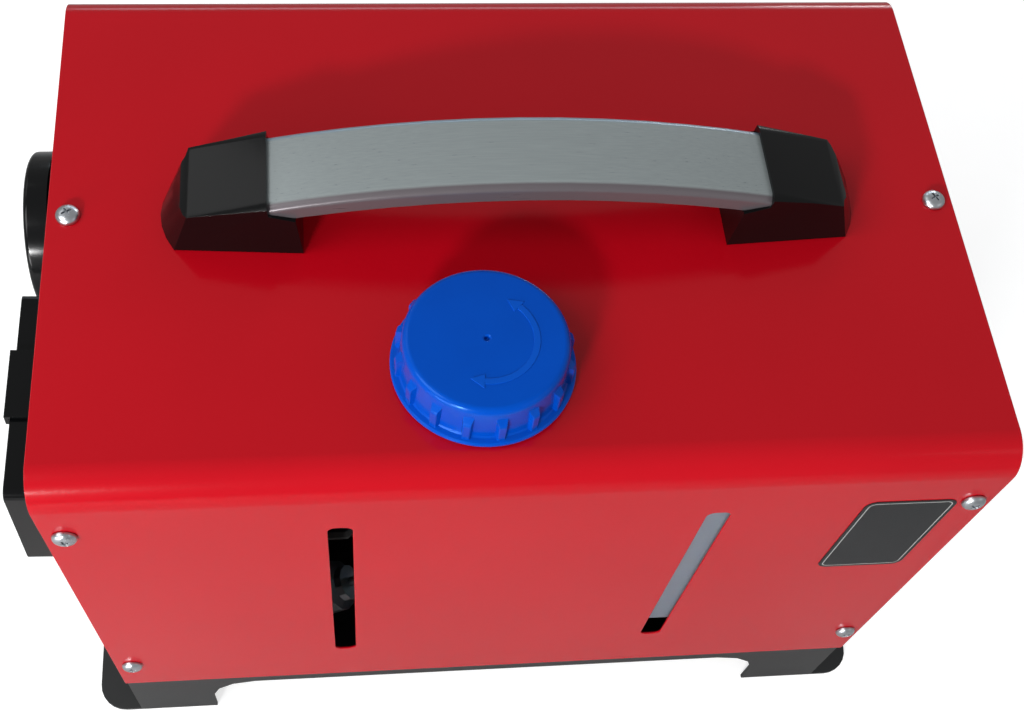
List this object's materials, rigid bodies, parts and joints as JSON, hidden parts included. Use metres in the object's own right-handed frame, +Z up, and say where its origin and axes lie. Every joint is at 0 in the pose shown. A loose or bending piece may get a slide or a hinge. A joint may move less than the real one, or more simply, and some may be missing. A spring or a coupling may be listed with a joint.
{
  "type": "diesel air heater",
  "caption": "Portable diesel air heater: bent-sheet cover on a footed base, arched carrying handle, screw fuel cap, sight slots, round air outlet and side controller.",
  "frame": {"origin": "on the floor under the middle of the case", "axes": "+X along the case towards the air intake, -Y towards the front with the sight slots, +Z up"},
  "size_m": [0.4354, 0.265, 0.3233],
  "materials": {
    "red_paint": "gloss powder coat",
    "black_paint": "satin powder coat",
    "gloss_black": "gloss moulded plastic",
    "matt_black": "matt moulded plastic",
    "grey_grip": "satin silver-grey plastic",
    "blue_cap": "semi-gloss moulded plastic",
    "zinc": "bright zinc plate",
    "tank_plastic": "translucent natural polyethylene",
    "rubber": "black rubber",
    "cast_aluminium": "cast, fine-grained",
    "stainless": "drawn stainless steel",
    "circuit_board": "solder-resist green",
    "display": "dark display window",
    "white_plastic": "white moulded plastic",
    "fuel_hose": "translucent green fuel hose"
  },
  "bodies": {
    "root": {"base_frame": "black_paint", "cover": "red_paint", "end_panel_left": "black_paint", "end_panel_right": "black_paint", "handle_bracket_left": "gloss_black", "handle_bracket_right": "gloss_black", "handle_grip": "grey_grip", "fuel_tank": "tank_plastic", "tank_outlet": "zinc", "tank_shelf": "black_paint", "neck_grommet": "rubber", "heater_case_upper": "matt_black", "heater_case_lower": "matt_black", "heat_exchanger": "cast_aluminium", "overheat_sensor": "matt_black", "burner_tube": "stainless", "glow_plug": "stainless", "fuel_pipe": "stainless", "blower_housing": "cast_aluminium", "blower_motor": "stainless", "control_unit": "matt_black", "exhaust_stub": "stainless", "combustion_air_stub": "gloss_black", "heater_stand": "black_paint", "outlet_collar": "gloss_black", "outlet_sleeve": "rubber", "intake_grille": "gloss_black", "power_gland": "rubber", "controller_clip": "gloss_black", "controller_housing": "gloss_black", "controller_screen": "display", "controller_board": "circuit_board", "fuel_pump": "cast_aluminium", "pump_clamp": "rubber", "fuel_filter": "white_plastic", "hose_tank_to_filter": "rubber", "hose_filter_to_pump": "fuel_hose", "hose_pump_to_burner": "fuel_hose", "controller_lead": "rubber", "cover_screw_top_left": "zinc", "cover_screw_front_left_lower": "zinc", "cover_screw_front_left_upper": "zinc", "cover_screw_back_left_lower": "zinc", "cover_screw_back_left_upper": "zinc", "cover_screw_top_right": "zinc", "cover_screw_front_right_lower": "zinc", "cover_screw_front_right_upper": "zinc", "cover_screw_back_right_lower": "zinc", "cover_screw_back_right_upper": "zinc"},
    "cap_lift": {"cap_seal": "rubber"},
    "cap": {"fuel_cap": "blue_cap"},
    "louvre": {"outlet_grille": "gloss_black"},
    "fan": {"motor_shaft": "stainless", "fan_wheel": "gloss_black", "combustion_impeller": "gloss_black"},
    "button_front_lower": {"controller_button_front_lower": "matt_black"},
    "button_front_upper": {"controller_button_front_upper": "matt_black"},
    "button_back_lower": {"controller_button_back_lower": "matt_black"},
    "button_back_upper": {"controller_button_back_upper": "matt_black"}
  },
  "joints": [
    {"name": "cap_lift", "type": "slide", "parent": "root", "child": "cap_lift", "axis": [0, 0, 1], "range_m": [0, 0.009]},
    {"name": "cap_turn", "type": "hinge", "parent": "cap_lift", "child": "cap", "pos_m": [-0.0195, -0.0775, 0.295], "axis": [0, 0, 1], "range_deg": [0, 540]},
    {"name": "louvre_turn", "type": "hinge", "parent": "root", "child": "louvre", "pos_m": [-0.206, 0.05, 0.208], "axis": [1, 0, 0], "continuous": true},
    {"name": "fan_spin", "type": "hinge", "parent": "root", "child": "fan", "pos_m": [0.11, 0.05, 0.208], "axis": [1, 0, 0], "continuous": true},
    {"name": "button_front_lower_press", "type": "slide", "parent": "root", "child": "button_front_lower", "axis": [0.9977, 0, -0.068], "range_m": [0, 0.0008], "stiffness_N_per_m": 1200, "springref_m": -0.0006},
    {"name": "button_front_upper_press", "type": "slide", "parent": "root", "child": "button_front_upper", "axis": [0.9977, 0, -0.068], "range_m": [0, 0.0008], "stiffness_N_per_m": 1200, "springref_m": -0.0006},
    {"name": "button_back_lower_press", "type": "slide", "parent": "root", "child": "button_back_lower", "axis": [0.9977, 0, -0.068], "range_m": [0, 0.0008], "stiffness_N_per_m": 1200, "springref_m": -0.0006},
    {"name": "button_back_upper_press", "type": "slide", "parent": "root", "child": "button_back_upper", "axis": [0.9977, 0, -0.068], "range_m": [0, 0.0008], "stiffness_N_per_m": 1200, "springref_m": -0.0006}
  ],
  "couplings": [
    {"joint": "cap_lift", "follows": "cap_turn", "m_per_rad": 0.00095493}
  ]
}
